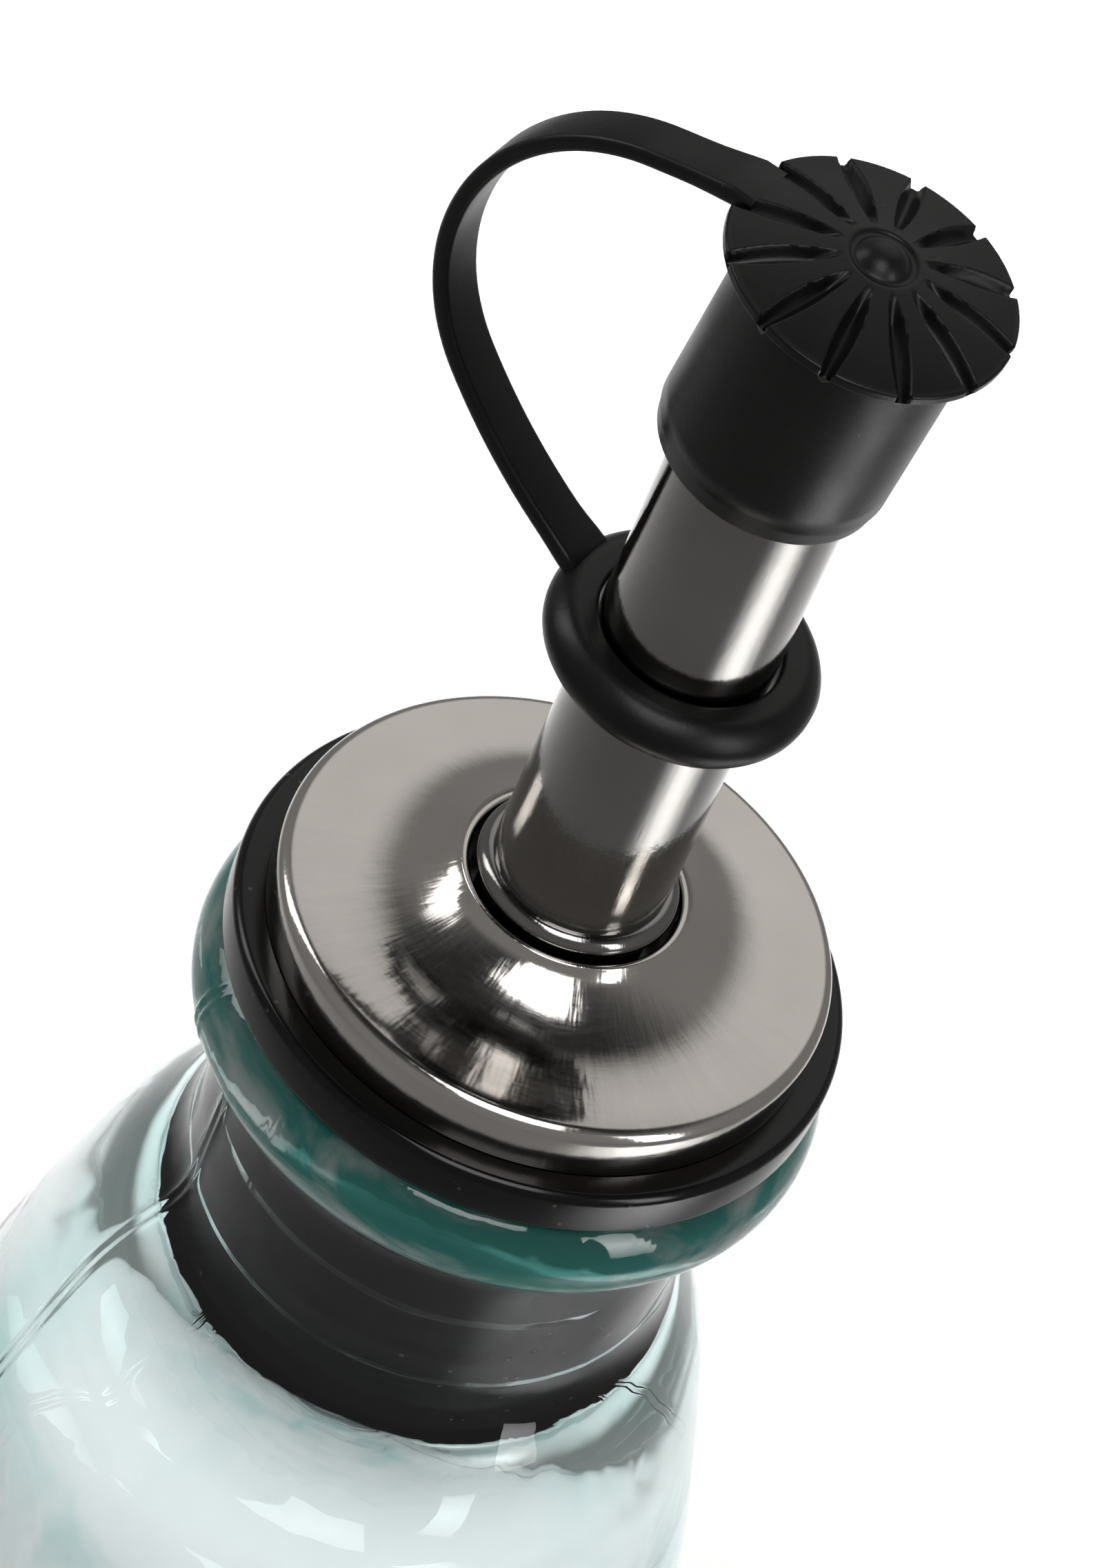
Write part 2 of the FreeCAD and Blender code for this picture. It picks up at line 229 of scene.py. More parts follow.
def makeStudio():
    scene = bpy.context.scene
    scene.view_settings.view_transform = "Standard"
    world = bpy.data.worlds.new("studio")
    scene.world = world
    world.use_nodes = True
    nodes, links = world.node_tree.nodes, world.node_tree.links
    background = nodes["Background"]
    background.inputs["Color"].default_value = (*studio["air"], 1)
    place = nodes.new("ShaderNodeTexCoord")
    split = nodes.new("ShaderNodeSeparateXYZ")
    towards = nodes.new("ShaderNodeVectorMath")  # how far a direction looks to the bright card behind
    towards.operation = "DOT_PRODUCT"
    towards.inputs[1].default_value = studio["cardPlace"]
    total = nodes.new("ShaderNodeMath")
    links.new(place.outputs["Generated"], split.inputs[0])
    links.new(place.outputs["Generated"], towards.inputs[0])
    ramps = ((split.outputs["Z"], studio["wallHeights"], studio["dark"], studio["walls"]),
             (towards.outputs["Value"], studio["cardEdge"], 0.0, studio["card"]))
    for index, (source, (start, stop), first, last) in enumerate(ramps):
        ramp = nodes.new("ShaderNodeMapRange")
        ramp.interpolation_type = "SMOOTHSTEP"
        ramp.inputs["From Min"].default_value = start
        ramp.inputs["From Max"].default_value = stop
        ramp.inputs["To Min"].default_value = first
        ramp.inputs["To Max"].default_value = last
        links.new(source, ramp.inputs["Value"])
        links.new(ramp.outputs["Result"], total.inputs[index])
    links.new(total.outputs[0], background.inputs["Strength"])
    for name, (place, aim, width, height, watts, spreadAngle, use) in softboxes.items():
        light = bpy.data.lights.new(name, "AREA")
        light.shape = "RECTANGLE"
        light.size, light.size_y, light.energy = width, height, watts
        light.spread = math.radians(spreadAngle)
        lamp = bpy.data.objects.new(name, light)
        scene.collection.objects.link(lamp)
        lamp.visible_glossy = use != "floor"
        lamp.visible_diffuse = use != "gloss"
        lamp.location = place
        lamp.rotation_euler = (Vector(aim) - Vector(place)).to_track_quat("-Z", "Y").to_euler()
    half = studio["floorSize"] / 2
    mesh = bpy.data.meshes.new("floor")
    corners = [(-half, -half, 0), (half, -half, 0), (half, half, 0), (-half, half, 0)]
    mesh.from_pydata(corners, [], [(0, 1, 2, 3)])
    floor = bpy.data.objects.new("floor", mesh)
    scene.collection.objects.link(floor)
    pale = bpy.data.materials.new("paleFloor")
    pale.use_nodes = True
    shader = pale.node_tree.nodes["Principled BSDF"]
    shader.inputs["Base Color"].default_value = (*studio["floor"], 1)
    shader.inputs["Roughness"].default_value = studio["floorRough"]
    mesh.materials.append(pale)


makeCamera()
makeStudio()
print("camera and studio made")


def newGroup(name, inputs, outputs):
    group = bpy.data.node_groups.new(name, "ShaderNodeTree")
    for label, kind, value in inputs:
        socket = group.interface.new_socket(label, in_out="INPUT", socket_type=kind)
        if value is not None:
            socket.default_value = value
    for label, kind in outputs:
        group.interface.new_socket(label, in_out="OUTPUT", socket_type=kind)
    return group, group.nodes.new("NodeGroupInput"), group.nodes.new("NodeGroupOutput")


def addNode(tree, kind, **settings):
    # settings are node properties, or input values when their name is an input's
    node = tree.nodes.new(kind)
    for label, value in settings.items():
        if label in node.inputs:
            node.inputs[label].default_value = value
        else:
            setattr(node, label, value)
    return node


dust = {"clumpScale": 90.0, "clumpDetail": 3.0, "clumpCut": 0.56}


def makeSpecksGroup():
    # small specks of dust, in loose clumps
    group, inside, outside = newGroup(
        "dustSpecks",
        [("Vector", "NodeSocketVector", None), ("Scale", "NodeSocketFloat", 900.0),
         ("Amount", "NodeSocketFloat", 0.1)],
        [("Mask", "NodeSocketFloat")])
    cells = addNode(group, "ShaderNodeTexVoronoi")
    thin = addNode(group, "ShaderNodeMapRange")
    thin.inputs["To Min"].default_value = 1.0
    thin.inputs["To Max"].default_value = 0.0
    clumps = addNode(group, "ShaderNodeTexNoise", Scale=dust["clumpScale"], Detail=dust["clumpDetail"])
    gate = addNode(group, "ShaderNodeMath", operation="GREATER_THAN")
    gate.inputs[1].default_value = dust["clumpCut"]
    both = addNode(group, "ShaderNodeMath", operation="MULTIPLY")
    links = group.links
    links.new(inside.outputs["Vector"], cells.inputs["Vector"])
    links.new(inside.outputs["Scale"], cells.inputs["Scale"])
    links.new(inside.outputs["Amount"], thin.inputs["From Max"])
    links.new(cells.outputs["Distance"], thin.inputs["Value"])
    links.new(inside.outputs["Vector"], clumps.inputs["Vector"])
    links.new(clumps.outputs["Fac"], gate.inputs[0])
    links.new(thin.outputs["Result"], both.inputs[0])
    links.new(gate.outputs[0], both.inputs[1])
    links.new(both.outputs[0], outside.inputs["Mask"])
    return group


def makeTurningGroup():
    # a pattern stretched round the Z axis, as a lathe or a spinning brush leaves it
    group, inside, outside = newGroup(
        "turnedLines",
        [("Vector", "NodeSocketVector", None), ("Across", "NodeSocketFloat", 4000.0),
         ("Around", "NodeSocketFloat", 3.0)],
        [("Lines", "NodeSocketFloat"), ("Radius", "NodeSocketFloat")])
    split = addNode(group, "ShaderNodeSeparateXYZ")
    angle = addNode(group, "ShaderNodeMath", operation="ARCTAN2")
    flat = addNode(group, "ShaderNodeCombineXYZ")
    length = addNode(group, "ShaderNodeVectorMath", operation="LENGTH")
    rings = addNode(group, "ShaderNodeMath", operation="MULTIPLY")
    around = addNode(group, "ShaderNodeMath", operation="MULTIPLY")
    height = addNode(group, "ShaderNodeMath", operation="MULTIPLY")
    join = addNode(group, "ShaderNodeCombineXYZ")
    lines = addNode(group, "ShaderNodeTexNoise", Scale=1.0, Detail=4.0, Roughness=0.6)
    links = group.links
    links.new(inside.outputs["Vector"], split.inputs[0])
    links.new(split.outputs["Y"], angle.inputs[0])
    links.new(split.outputs["X"], angle.inputs[1])
    links.new(split.outputs["X"], flat.inputs["X"])
    links.new(split.outputs["Y"], flat.inputs["Y"])
    links.new(flat.outputs[0], length.inputs[0])
    links.new(length.outputs["Value"], rings.inputs[0])
    links.new(inside.outputs["Across"], rings.inputs[1])
    links.new(angle.outputs[0], around.inputs[0])
    links.new(inside.outputs["Around"], around.inputs[1])
    links.new(split.outputs["Z"], height.inputs[0])
    links.new(inside.outputs["Across"], height.inputs[1])
    links.new(rings.outputs[0], join.inputs["X"])
    links.new(around.outputs[0], join.inputs["Y"])
    links.new(height.outputs[0], join.inputs["Z"])
    links.new(join.outputs[0], lines.inputs["Vector"])
    links.new(lines.outputs["Fac"], outside.inputs["Lines"])
    links.new(length.outputs["Value"], outside.inputs["Radius"])
    return group


specksGroup = makeSpecksGroup()
turningGroup = makeTurningGroup()


def newMaterial(name, **values):
    material = bpy.data.materials.new(name)
    material.use_nodes = True
    shader = material.node_tree.nodes["Principled BSDF"]
    for label, value in values.items():
        shader.inputs[label].default_value = value
    return material, material.node_tree, shader


def placeGroup(tree, group, **values):
    node = tree.nodes.new("ShaderNodeGroup")
    node.node_tree = group
    for label, value in values.items():
        node.inputs[label].default_value = value
    return node


def remap(tree, source, values, reach):
    # maps a mask's reach, from low to high, to a range of plain values
    node = tree.nodes.new("ShaderNodeMapRange")
    node.inputs["From Min"].default_value, node.inputs["From Max"].default_value = reach
    node.inputs["To Min"].default_value, node.inputs["To Max"].default_value = values
    tree.links.new(source, node.inputs["Value"])
    return node.outputs["Result"]


def tintBetween(tree, mask, first, second):
    node = tree.nodes.new("ShaderNodeMix")
    node.data_type = "RGBA"
    node.inputs["A"].default_value = (*first, 1)
    node.inputs["B"].default_value = (*second, 1)
    tree.links.new(mask, node.inputs["Factor"])
    return node.outputs["Result"]


def bumpFrom(tree, shader, height, distance, strength):
    node = addNode(tree, "ShaderNodeBump", Distance=distance, Strength=strength)
    tree.links.new(height, node.inputs["Height"])
    tree.links.new(node.outputs["Normal"], shader.inputs["Normal"])
    return node


rubberFinish = {
    "gloss": 0.25, "dark": (0.006, 0.006, 0.006), "worn": (0.010, 0.0097, 0.0093),
    "dust": (0.16, 0.155, 0.15), "patchScale": 160.0, "grainScale": 2600.0, "grainStrength": 0.35,
    "speckScale": 700.0}


def rubberMaterial(name, rough, dustAmount, texture):
    material, tree, shader = newMaterial(name, **{"Specular IOR Level": rubberFinish["gloss"]})
    place = addNode(tree, "ShaderNodeTexCoord").outputs["Object"]
    patches = addNode(tree, "ShaderNodeTexNoise", Scale=rubberFinish["patchScale"], Detail=4.0)
    grain = addNode(tree, "ShaderNodeTexNoise", Scale=rubberFinish["grainScale"], Detail=2.0)
    specks = placeGroup(tree, specksGroup, Scale=rubberFinish["speckScale"], Amount=dustAmount)
    for node in (patches, grain, specks):
        tree.links.new(place, node.inputs["Vector"])
    cleaned = tintBetween(tree, patches.outputs["Fac"], rubberFinish["dark"], rubberFinish["worn"])
    dusty = tree.nodes.new("ShaderNodeMix")
    dusty.data_type = "RGBA"
    dusty.inputs["B"].default_value = (*rubberFinish["dust"], 1)
    tree.links.new(cleaned, dusty.inputs["A"])
    tree.links.new(specks.outputs["Mask"], dusty.inputs["Factor"])
    tree.links.new(dusty.outputs["Result"], shader.inputs["Base Color"])
    tree.links.new(remap(tree, patches.outputs["Fac"], rough, (0.3, 0.7)), shader.inputs["Roughness"])
    bumpFrom(tree, shader, grain.outputs["Fac"], texture, rubberFinish["grainStrength"])
    return material


steelFinish = {"cloudScale": 120.0, "pitScale": 1500.0, "fanAcross": 60.0, "fanAround": 3.5, "strength": 0.5}
coverFinish = {"tints": ((0.57, 0.545, 0.515), (0.47, 0.445, 0.42)), "rough": (0.09, 0.15),
               "across": 5200.0, "around": 9.0, "lineDepth": 0.000004, "fanDepth": 0.00013}
spoutFinish = {"tints": ((0.27, 0.26, 0.25), (0.20, 0.193, 0.185)), "rough": (0.07, 0.13),
               "across": 900.0, "around": 30.0, "lineDepth": 0.000012, "fanDepth": 0.00003}


def steelMaterial(name, finish):
    material, tree, shader = newMaterial(name, Metallic=1.0)
    place = addNode(tree, "ShaderNodeTexCoord").outputs["Object"]
    turned = placeGroup(tree, turningGroup, Across=finish["across"], Around=finish["around"])
    clouds = addNode(tree, "ShaderNodeTexNoise", Scale=steelFinish["cloudScale"], Detail=5.0)
    pits = addNode(tree, "ShaderNodeTexNoise", Scale=steelFinish["pitScale"], Detail=2.0)
    fans = placeGroup(tree, turningGroup, Across=steelFinish["fanAcross"], Around=steelFinish["fanAround"])
    for node in (turned, clouds, pits, fans):
        tree.links.new(place, node.inputs["Vector"])
    tree.links.new(tintBetween(tree, clouds.outputs["Fac"], *finish["tints"]), shader.inputs["Base Color"])
    rough = remap(tree, turned.outputs["Lines"], finish["rough"], (0.3, 0.7))
    tree.links.new(rough, shader.inputs["Roughness"])
    mixed = addNode(tree, "ShaderNodeMath", operation="ADD")
    tree.links.new(turned.outputs["Lines"], mixed.inputs[0])
    tree.links.new(pits.outputs["Fac"], mixed.inputs[1])
    fine = bumpFrom(tree, shader, mixed.outputs[0], finish["lineDepth"], steelFinish["strength"])
    # long soft dents that fan the reflections out
    broad = addNode(tree, "ShaderNodeBump", Distance=finish["fanDepth"], Strength=steelFinish["strength"])
    tree.links.new(fans.outputs["Lines"], broad.inputs["Height"])
    tree.links.new(broad.outputs["Normal"], fine.inputs["Normal"])
    return material


glassFinish = {
    "ior": 1.5, "clear": (0.835, 0.857, 0.862), "patch": (0.42, 0.69, 0.67), "patchScale": 42.0,
    "patchStretch": (1.0, 1.0, 0.4), "patchCut": (0.52, 0.76), "rippleScale": 110.0, "rippleDepth": 0.0006,
    "rippleStrength": 0.25, "absorb": 8.0, "absorbTint": (0.10, 0.68, 0.62)}


def glassMaterial():
    material, tree, shader = newMaterial("bottleGlass", IOR=glassFinish["ior"], Roughness=0.0)
    shader.inputs["Transmission Weight"].default_value = 1.0
    place = addNode(tree, "ShaderNodeTexCoord").outputs["Object"]
    runs = addNode(tree, "ShaderNodeMapping", Scale=glassFinish["patchStretch"])  # patches run down the wall
    patches = addNode(tree, "ShaderNodeTexNoise", Scale=glassFinish["patchScale"], Detail=4.0)
    patches.inputs["Distortion"].default_value = 0.35
    ripple = addNode(tree, "ShaderNodeTexNoise", Scale=glassFinish["rippleScale"], Detail=2.0)
    ripple.inputs["Distortion"].default_value = 0.6
    tree.links.new(place, runs.inputs["Vector"])
    tree.links.new(runs.outputs["Vector"], patches.inputs["Vector"])
    tree.links.new(place, ripple.inputs["Vector"])
    mask = remap(tree, patches.outputs["Fac"], (0.0, 1.0), glassFinish["patchCut"])
    colour = tintBetween(tree, mask, glassFinish["clear"], glassFinish["patch"])
    tree.links.new(colour, shader.inputs["Base Color"])
    bumpFrom(tree, shader, ripple.outputs["Fac"], glassFinish["rippleDepth"], glassFinish["rippleStrength"])
    absorb = addNode(tree, "ShaderNodeVolumeAbsorption", Density=glassFinish["absorb"])
    absorb.inputs["Color"].default_value = (*glassFinish["absorbTint"], 1)
    tree.links.new(absorb.outputs[0], tree.nodes["Material Output"].inputs["Volume"])
    return material


# the lip's pale streaks are partly paler teal glass and partly painted highlight streaks along the lip's
# rounding
lipFinish = {
    "rough": 0.04, "clear": 0.40, "deep": (0.050, 0.460, 0.400), "pale": (0.75, 0.93, 0.91),
    "paleAndHighlightScale": 75.0, "paleAndHighlightStretch": (1.0, 1.0, 3.4), "paleAndHighlightCut": (0.46, 0.66), "rippleScale": 160.0,
    "rippleDepth": 0.0005, "rippleStrength": 0.3}


def lipMaterial():
    # the thick lip, where the glass is deep enough to look dark green
    material, tree, shader = newMaterial("lipGlass", IOR=glassFinish["ior"], Roughness=lipFinish["rough"])
    shader.inputs["Transmission Weight"].default_value = lipFinish["clear"]
    place = addNode(tree, "ShaderNodeTexCoord").outputs["Object"]
    streaks = addNode(tree, "ShaderNodeMapping", Scale=lipFinish["paleAndHighlightStretch"])
    paleAndHighlightNoise = addNode(tree, "ShaderNodeTexNoise", Scale=lipFinish["paleAndHighlightScale"], Detail=5.0, Distortion=1.2)
    ripple = addNode(tree, "ShaderNodeTexNoise", Scale=lipFinish["rippleScale"], Detail=3.0, Distortion=0.8)
    tree.links.new(place, streaks.inputs["Vector"])
    tree.links.new(streaks.outputs["Vector"], paleAndHighlightNoise.inputs["Vector"])
    tree.links.new(place, ripple.inputs["Vector"])
    # pale streaks over the deep teal: a paler glass tone mixed with painted highlights
    mask = remap(tree, paleAndHighlightNoise.outputs["Fac"], (0.0, 1.0), lipFinish["paleAndHighlightCut"])
    colour = tintBetween(tree, mask, lipFinish["deep"], lipFinish["pale"])
    tree.links.new(colour, shader.inputs["Base Color"])
    bumpFrom(tree, shader, ripple.outputs["Fac"], lipFinish["rippleDepth"], lipFinish["rippleStrength"])
    return material


plasticFinish = {"rough": 0.5, "dark": (0.03, 0.03, 0.03), "pale": (0.05, 0.05, 0.05), "grainScale": 1800.0,
                 "grainDepth": 0.00004, "grainStrength": 0.4}


def plasticMaterial():
    material, tree, shader = newMaterial("platePlastic", Roughness=plasticFinish["rough"])
    place = addNode(tree, "ShaderNodeTexCoord").outputs["Object"]
    grain = addNode(tree, "ShaderNodeTexNoise", Scale=plasticFinish["grainScale"], Detail=3.0)
    tree.links.new(place, grain.inputs["Vector"])
    colour = tintBetween(tree, grain.outputs["Fac"], plasticFinish["dark"], plasticFinish["pale"])
    tree.links.new(colour, shader.inputs["Base Color"])
    bumpFrom(tree, shader, grain.outputs["Fac"], plasticFinish["grainDepth"], plasticFinish["grainStrength"])
    return material


glossyRubber = rubberMaterial("stopperRubber", rough=(0.10, 0.22), dustAmount=0.14, texture=0.0000015)
satinRubber = rubberMaterial("capRubber", rough=(0.29, 0.41), dustAmount=0.05, texture=0.00003)
coverSteel = steelMaterial("coverSteel", coverFinish)
spoutSteel = steelMaterial("spoutSteel", spoutFinish)
bottleGlass = glassMaterial()
lipGlass = lipMaterial()
platePlastic = plasticMaterial()
print("materials made")


bottle = {
    "radius": 35.0, "foot": (23.0, 27.0), "heelCurve": 8.0, "punt": 5.0, "puntCurve": 55.4,
    "shoulder": -125.0, "shoulderCurve": 302.0, "neckFoot": (23.0, -40.7), "neckFootCurve": 23.4,
    "neckFlare": (19.0, -32.8), "neckFlareCurve": 7.0, "neckRadius": 17.5, "neckSpan": (-28.5, -19.1),
    "throatCurve": 4.75, "lipLow": (19.87, -14.98), "lipSide": (21.8, -11.65), "lipCurve": 3.85,
    "lipTop": -7.8, "lipFlat": 17.95, "mouth": 12.0, "mouthRound": 0.8,
    "boreEnd": -40.0, "boreCurve": 10.2, "flare": (17.1, -48.83), "flareCurve": 11.8,
    "crown": (22.6, -56.0), "crownCurve": 271.5, "innerRadius": 31.5, "innerHeel": 14.0,
    "innerHeelCurve": 9.0, "innerFloor": (22.5, 5.0), "innerFloorCurve": 58.5, "floorMiddle": 9.5,
    "turns": 200, "spacing": 2.0, "greenFrom": -17.2, "greenInside": 12.4}
unevenness = {  # fades are where the wall starts to be uneven, and over how long a drop
    "outer": 0.35, "outerSize": 26.0, "outerStretch": 0.6, "outerFade": (-18.0, 20.0), "outerLeast": 0.15,
    "inner": 0.9, "innerSize": 17.0, "innerStretch": 0.55, "innerFade": (-32.0, 18.0), "innerSeed": 3.7,
    "outward": 0.4, "lipTop": -9.0, "lipInside": 13.0}
seam = {"angles": (211.0, 31.0), "height": 0.13, "gap": 0.9, "wide": 0.28, "bottom": 6.0, "top": -9.0,
        "inside": 15.0, "step": 0.2, "steps": 12}


def bottleCorners():
    base, curve = -coverTop, bottle["lipCurve"]
    (footIn, footOut), (neckLow, neckHigh) = bottle["foot"], bottle["neckSpan"]
    top, mouth, edge = bottle["lipTop"], bottle["mouth"], bottle["mouthRound"]
    outer = [
        (0, base + bottle["punt"], bottle["puntCurve"], "left"), (footIn, base),
        (footOut, base, bottle["heelCurve"], "right"), (bottle["radius"], base + bottle["heelCurve"]),
        (bottle["radius"], bottle["shoulder"], bottle["shoulderCurve"], "right"),
        (*bottle["neckFoot"], bottle["neckFootCurve"], "right"),
        (*bottle["neckFlare"], bottle["neckFlareCurve"], "left"), (bottle["neckRadius"], neckLow),
        (bottle["neckRadius"], neckHigh, bottle["throatCurve"], "left"), (*bottle["lipLow"], curve, "right"),
        (*bottle["lipSide"], curve, "right"), (bottle["lipFlat"], top),
        (mouth + edge, top, edge, "right"), (mouth, top - edge)]
    floorRadius, floorRise = bottle["innerFloor"]
    inner = [
        (mouth, bottle["boreEnd"], bottle["boreCurve"], "right"),
        (*bottle["flare"], bottle["flareCurve"], "left"),
        (*bottle["crown"], bottle["crownCurve"], "left"), (bottle["innerRadius"], bottle["shoulder"]),
        (bottle["innerRadius"], base + bottle["innerHeel"], bottle["innerHeelCurve"], "left"),
        (floorRadius, base + floorRise, bottle["innerFloorCurve"], "right"),
        (0, base + bottle["floorMiddle"])]
    return outer, inner


def makeBottle():
    outer, inner = bottleCorners()
    outside = traceOutline(outer, bottle["spacing"], closed=False)
    inside = traceOutline([outer[-1]] + inner, bottle["spacing"], closed=False)[1:]
    seams = [math.radians(angle) for angle in seam["angles"]]
    turns = evenTurns(bottle["turns"])
    for line in seams:  # more points where a mould seam runs down
        steps = range(-seam["steps"], seam["steps"] + 1)
        turns += [line + math.radians(step * seam["step"]) for step in steps]
    turns = sorted(set(round(turn % math.tau, 6) for turn in turns))

    def unevenWall(index, radius, turn, height):
        x, y = radius * math.cos(turn), radius * math.sin(turn)
        if index >= len(outside):  # the inner wall, calm in the bore and uneven below it
            start, drop = unevenness["innerFade"]
            fade = min(1.0, max(0.0, (start - height) / drop))
            along = height * unevenness["innerStretch"]
            noisy = wave(x, y, along, unevenness["innerSize"], unevenness["innerSeed"])
            swell, outward = unevenness["inner"] * fade * noisy, unevenness["outward"]
            return radius - abs(swell) * (1 - outward) + swell * outward, height
        start, drop = unevenness["outerFade"]
        fade = min(1.0, max(unevenness["outerLeast"], (start - height) / drop))
        noisy = 0.5 + 0.5 * wave(x, y, height * unevenness["outerStretch"], unevenness["outerSize"])
        belowTop = radius > unevenness["lipInside"] and height < unevenness["lipTop"]
        sink = unevenness["outer"] * fade * noisy if belowTop else 0
        ridge = 0.0
        for line in seams:
            away = math.remainder(turn - line, math.tau) * radius
            for side in (-0.5, 0.5):
                ridge += math.exp(-((away - side * seam["gap"]) / seam["wide"]) ** 2)
        onWall = seam["bottom"] - coverTop < height < seam["top"] and radius > seam["inside"]
        ridge *= seam["height"] if onWall else 0
        return radius - sink + ridge, height

    mesh = latheMesh("glassBottle", outside + inside, turns, closed=False, shape=unevenWall)
    piece = addPiece("glassBottle", mesh, bottleGlass, "bottle", ["glass_bottle"])
    mesh.materials.append(lipGlass)
    for face in mesh.polygons:
        height = face.center.z / mm - coverTop
        outwards = math.hypot(face.center.x, face.center.y) > bottle["greenInside"] * mm
        if height > bottle["greenFrom"] and outwards:
            face.material_index = 1
    return piece


stopper = {
    "bore": 6.0, "plugEnd": -44.0, "tipRadius": 9.0, "tipRound": 0.6, "coreRadius": 11.3, "plugRadius": 12.04,
    "ribs": 3, "ribDrop": 19.0, "ribPitch": 7.0, "ribTall": 6.5, "ribEdge": 0.15, "collar": (-18.3, -17.8),
    "flangeRadius": 21.0, "flangeSpan": (-7.8, -4.1), "flangeRound": 0.7, "seatRadius": 18.3,
    "seatTop": -0.62, "turns": 224, "spacing": 1.5}


def makeStopper():
    crest, core, edge, bore = (stopper[key] for key in ("plugRadius", "coreRadius", "ribEdge", "bore"))
    tip, end, tipRound = stopper["tipRadius"], stopper["plugEnd"], stopper["tipRound"]
    corners = [(bore, end), (tip, end, tipRound, "right"), (tip + tipRound, end + tipRound)]
    for rib in reversed(range(stopper["ribs"])):  # each rib slopes in below and is square above
        top = -stopper["ribDrop"] - stopper["ribPitch"] * rib
        foot = top - stopper["ribTall"]
        corners += [(core, foot - edge), (crest, foot + 0.1), (crest, top - edge, edge, "right"),
                    (crest - edge, top), (core, top + 0.05)]
    (collarLow, collarHigh), (low, high) = stopper["collar"], stopper["flangeSpan"]
    flange, curve, seat = stopper["flangeRadius"], stopper["flangeRound"], stopper["seatRadius"]
    corners += [(core, collarLow), (crest, collarHigh), (crest, low), (flange - curve, low, curve, "right"),
                (flange, low + curve), (flange, high - curve, curve, "right"), (flange - curve, high),
                (seat, high), (seat, stopper["seatTop"]), (bore, stopper["seatTop"])]
    outline = traceOutline(corners, stopper["spacing"])
    mesh = latheMesh("rubberStopper", outline, evenTurns(stopper["turns"]), sharp=35)
    return addPiece("rubberStopper", mesh, glossyRubber, "stopper", ["rubber_stopper"])


cover = {
    "radius": 19.0, "drop": -4.0, "edge": 1.1, "edgeCurve": 1.0, "rimRadius": 18.1, "foot": 16.5,
    "footCurve": 14.4, "collar": (7.9, 2.85), "collarEdge": (7.78, 3.12), "collarTop": (7.55, 3.2),
    "bore": (7.2, 2.85), "inside": 18.4, "turns": 256, "spacing": 1.0}


def makeCover():
    radius, drop, (bore, boreTop) = cover["radius"], cover["drop"], cover["bore"]
    corners = [(cover["inside"] + 0.05, drop), (radius - 0.05, drop), (radius, drop + 0.4),
               (radius, -cover["edge"], cover["edgeCurve"], "right"), (cover["rimRadius"], -0.12),
               (cover["foot"], 0.0, cover["footCurve"], "left"), cover["collar"],
               (*cover["collarEdge"], 0.25, "right"), (*cover["collarTop"], 0.35, "right"), (bore, boreTop),
               (bore, -coverSheet), (cover["inside"], -coverSheet)]
    outline = traceOutline(corners, cover["spacing"])
    mesh = latheMesh("steelCover", outline, evenTurns(cover["turns"]), sharp=50)
    return addPiece("steelCover", mesh, coverSteel, "stopper", ["steel_cover"])


spout = {"radius": 6.0, "sheet": 0.6, "foot": -46.0, "bead": 3.6, "beadRound": 0.9, "top": 50.5,
         "topRound": 0.3, "turns": 160, "spacing": 4.0}


def makeSpout():
    radius, bead, curve = spout["radius"], spout["bead"], spout["beadRound"]
    top, edge, inner = spout["top"], spout["topRound"], spout["radius"] - spout["sheet"]
    corners = [(inner, spout["foot"]), (radius, spout["foot"]), (radius, bead - curve, curve, "right"),
               (radius + curve, bead, curve, "right"), (radius, bead + curve),
               (radius, top - edge, edge, "right"), (radius - edge, top, edge, "right"), (inner, top - edge)]
    outline = traceOutline(corners, spout["spacing"])
    mesh = latheMesh("spoutTube", outline, evenTurns(spout["turns"]), sharp=50)
    return addPiece("spoutTube", mesh, spoutSteel, "stopper", ["spout_tube"])


tetherTurn = Matrix.Rotation(math.radians(164.0), 4, "Z")  # the side that the strap is on


def tiltAt(height, angle):
    centre = Vector((0, 0, (coverTop + height) * mm))
    return (tetherTurn @ Matrix.Translation(centre) @ Matrix.Rotation(math.radians(-angle), 4, "Y")
            @ Matrix.Translation(-centre))


ring = {"middle": 25.95, "tilt": 3.0, "bore": 6.2, "boreRound": 0.3, "half": 1.75, "top": (7.8, 2.6),
        "side": (9.25, 0.2, -0.3), "foot": (8.0, 1.6), "turns": 144, "spacing": 0.6}


def makeRing():
    half, bore, edge = ring["half"], ring["bore"], ring["boreRound"]
    (topRadius, topCurve), (sideRadius, sideHigh, sideLow), (footRadius, footCurve) = (
        ring["top"], ring["side"], ring["foot"])
    corners = [(bore + edge, -half, edge, "left"), (bore, edge - half), (bore, half - edge, edge, "left"),
               (bore + edge, half), (topRadius, half, topCurve, "left"), (sideRadius, sideHigh),
               (sideRadius, sideLow, footCurve, "left"), (footRadius, -half)]
    corners = [(r, z + ring["middle"], *rest) for r, z, *rest in corners]
    outline = traceOutline(corners, ring["spacing"])
    mesh = latheMesh("tetherRing", outline, evenTurns(ring["turns"]), sharp=60)
    mesh.transform(tiltAt(ring["middle"], ring["tilt"]))
    return addPiece("tetherRing", mesh, satinRubber, "tether", ["tether_ring"])


strap = {
    "wide": 3.8, "thick": 1.2, "edge": 0.42, "endGrowth": 0.16, "endReach": 5.0, "rootInside": (8.1, 25.6),
    "rootCurve": 42.0, "rootTurn": 20.0, "rootSteps": 16, "reach": 24.4, "reachRise": 45.7, "curve": 14.0,
    "lowTurn": 45.0, "topTurn": 75.0, "loopSteps": 48, "headRun": 5.8, "headSteps": 6,
    "headInside": (7.0, 60.7)}


